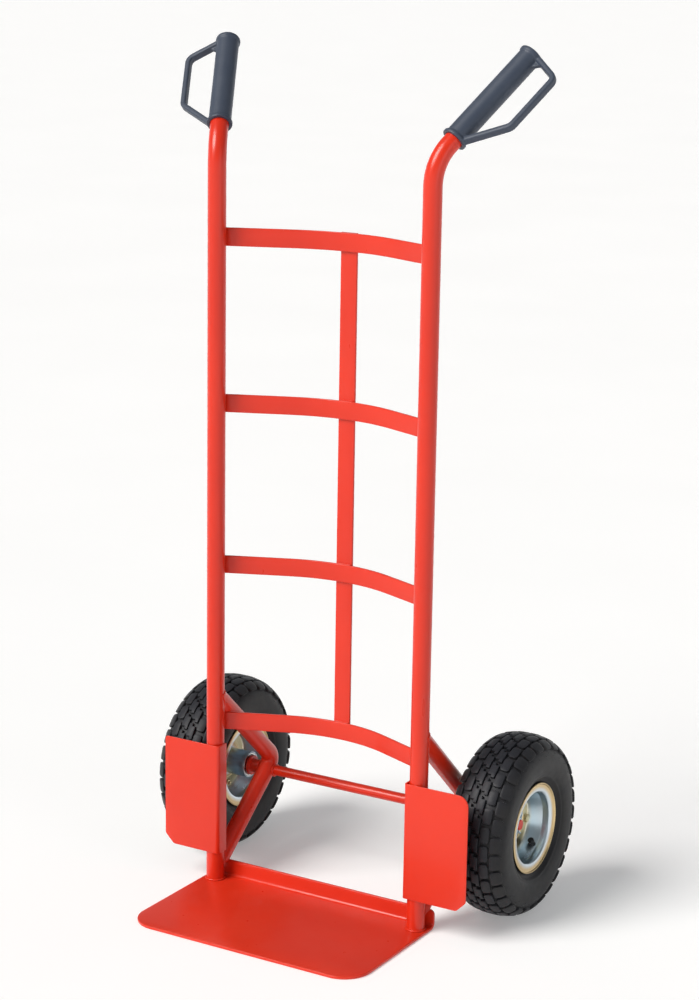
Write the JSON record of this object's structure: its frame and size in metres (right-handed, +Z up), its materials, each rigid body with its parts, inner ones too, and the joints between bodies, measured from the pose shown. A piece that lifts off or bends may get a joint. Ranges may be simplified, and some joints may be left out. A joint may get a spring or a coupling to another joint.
{
  "type": "hand truck",
  "caption": "Two-wheeled hand truck: red tube frame with bowed rungs, toe plate, wheel guards, knuckle-guard grips and pneumatic wheels.",
  "frame": {"origin": "on the floor, below the middle of the bounding box", "axes": "+Z up; the toe plate points to -Y and the wheels are at the back; +X is the right side seen from the front of the toe plate; the wheels turn about X"},
  "size_m": [0.5642, 0.4556, 1.185],
  "materials": {
    "red_paint": "semi-gloss powder coat",
    "grip_plastic": "satin moulded",
    "tyre_rubber": "matte rubber",
    "tube_rubber": "smooth rubber",
    "zinc_plate": "bright zinc plate",
    "bearing_steel": "ground"
  },
  "bodies": {
    "frame": {"upright_left": "red_paint", "upright_right": "red_paint", "rung_1": "red_paint", "rung_2": "red_paint", "rung_3": "red_paint", "rung_4": "red_paint", "centre_strap": "red_paint", "toe_plate": "red_paint", "wheel_guard_left": "red_paint", "axle_bracket_left": "red_paint", "axle_collar_left": "red_paint", "axle_washer_left": "zinc_plate", "split_pin_left": "zinc_plate", "handle_grip_left": "grip_plastic", "inboard_bearing_inner_race_left": "bearing_steel", "outboard_bearing_inner_race_left": "bearing_steel", "wheel_guard_right": "red_paint", "axle_bracket_right": "red_paint", "axle_collar_right": "red_paint", "axle_washer_right": "zinc_plate", "split_pin_right": "zinc_plate", "handle_grip_right": "grip_plastic", "inboard_bearing_inner_race_right": "bearing_steel", "outboard_bearing_inner_race_right": "bearing_steel", "axle": "red_paint"},
    "wheel_left": {"tyre_left": "tyre_rubber", "inner_tube_left": "tube_rubber", "rim_outer_left": "zinc_plate", "rim_inner_left": "zinc_plate", "hub_left": "zinc_plate", "inboard_bearing_outer_race_left": "bearing_steel", "outboard_bearing_outer_race_left": "bearing_steel", "inboard_bearing_balls_left": "bearing_steel", "outboard_bearing_balls_left": "bearing_steel", "rim_bolt_left_1": "zinc_plate", "rim_bolt_left_2": "zinc_plate", "rim_bolt_left_3": "zinc_plate", "rim_bolt_left_4": "zinc_plate", "rim_nut_left_1": "zinc_plate", "rim_nut_left_2": "zinc_plate", "rim_nut_left_3": "zinc_plate", "rim_nut_left_4": "zinc_plate"},
    "wheel_right": {"tyre_right": "tyre_rubber", "inner_tube_right": "tube_rubber", "rim_outer_right": "zinc_plate", "rim_inner_right": "zinc_plate", "hub_right": "zinc_plate", "inboard_bearing_outer_race_right": "bearing_steel", "outboard_bearing_outer_race_right": "bearing_steel", "inboard_bearing_balls_right": "bearing_steel", "outboard_bearing_balls_right": "bearing_steel", "rim_bolt_right_1": "zinc_plate", "rim_bolt_right_2": "zinc_plate", "rim_bolt_right_3": "zinc_plate", "rim_bolt_right_4": "zinc_plate", "rim_nut_right_1": "zinc_plate", "rim_nut_right_2": "zinc_plate", "rim_nut_right_3": "zinc_plate", "rim_nut_right_4": "zinc_plate"}
  },
  "joints": [
    {"name": "wheel_left_spin", "type": "hinge", "parent": "frame", "child": "wheel_left", "pos_m": [-0.237, 0.10075, 0.127], "axis": [1, 0, 0], "continuous": true},
    {"name": "wheel_right_spin", "type": "hinge", "parent": "frame", "child": "wheel_right", "pos_m": [0.237, 0.10075, 0.127], "axis": [1, 0, 0], "continuous": true}
  ]
}
